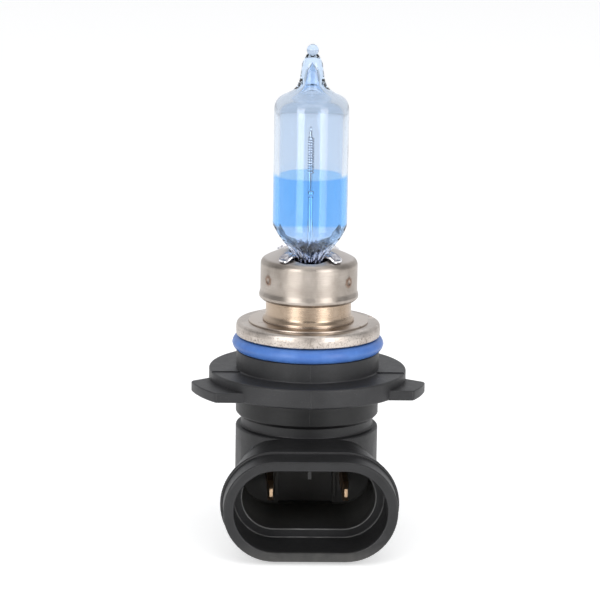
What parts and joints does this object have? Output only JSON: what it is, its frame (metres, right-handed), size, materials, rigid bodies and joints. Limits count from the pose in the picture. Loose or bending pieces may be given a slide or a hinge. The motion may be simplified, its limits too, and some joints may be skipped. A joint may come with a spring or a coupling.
{
  "type": "headlight bulb",
  "caption": "Halogen headlamp capsule with a blue glass band, a metal cup and pilot ring, an O-ring and a black right-angle socket base with bayonet lugs.",
  "frame": {"origin": "centre of the reference plane, the plane of the three lugs' tops, on the bulb's axis", "axes": "+Z along the bulb's axis towards the glass tip; the socket opens towards -Y; +X to the right as seen from the socket's side"},
  "size_m": [0.0329, 0.0367, 0.0688],
  "materials": {
    "capsule_glass": "clear with a faint blue tint and a blue band",
    "tungsten": "dull drawn wire",
    "lead_wire": "bright drawn wire",
    "seal_foil": "rolled foil",
    "clip_steel": "bright rolled sheet",
    "cup_nickel": "fine turned satin",
    "sleeve_nickel": "drawn satin",
    "ring_nickel": "tumbled satin",
    "blue_silicone": "satin",
    "flange_plastic": "matte glass-filled",
    "socket_plastic": "matte glass-filled",
    "terminal_brass": "stamped",
    "potting": "cast resin"
  },
  "bodies": {
    "root": {"glass_capsule": "capsule_glass", "filament_coil": "tungsten", "long_lead_wire": "lead_wire", "short_lead_wire": "lead_wire", "long_lead_foil": "seal_foil", "short_lead_foil": "seal_foil", "long_lead_tail": "lead_wire", "short_lead_tail": "lead_wire", "pinch_clip": "clip_steel", "capsule_cup": "cup_nickel", "focus_sleeve": "sleeve_nickel", "pilot_ring": "ring_nickel", "o_ring": "blue_silicone", "flange_base": "flange_plastic", "socket_body": "socket_plastic", "left_terminal": "terminal_brass", "right_terminal": "terminal_brass", "potting_plug": "potting"}
  },
  "joints": []
}
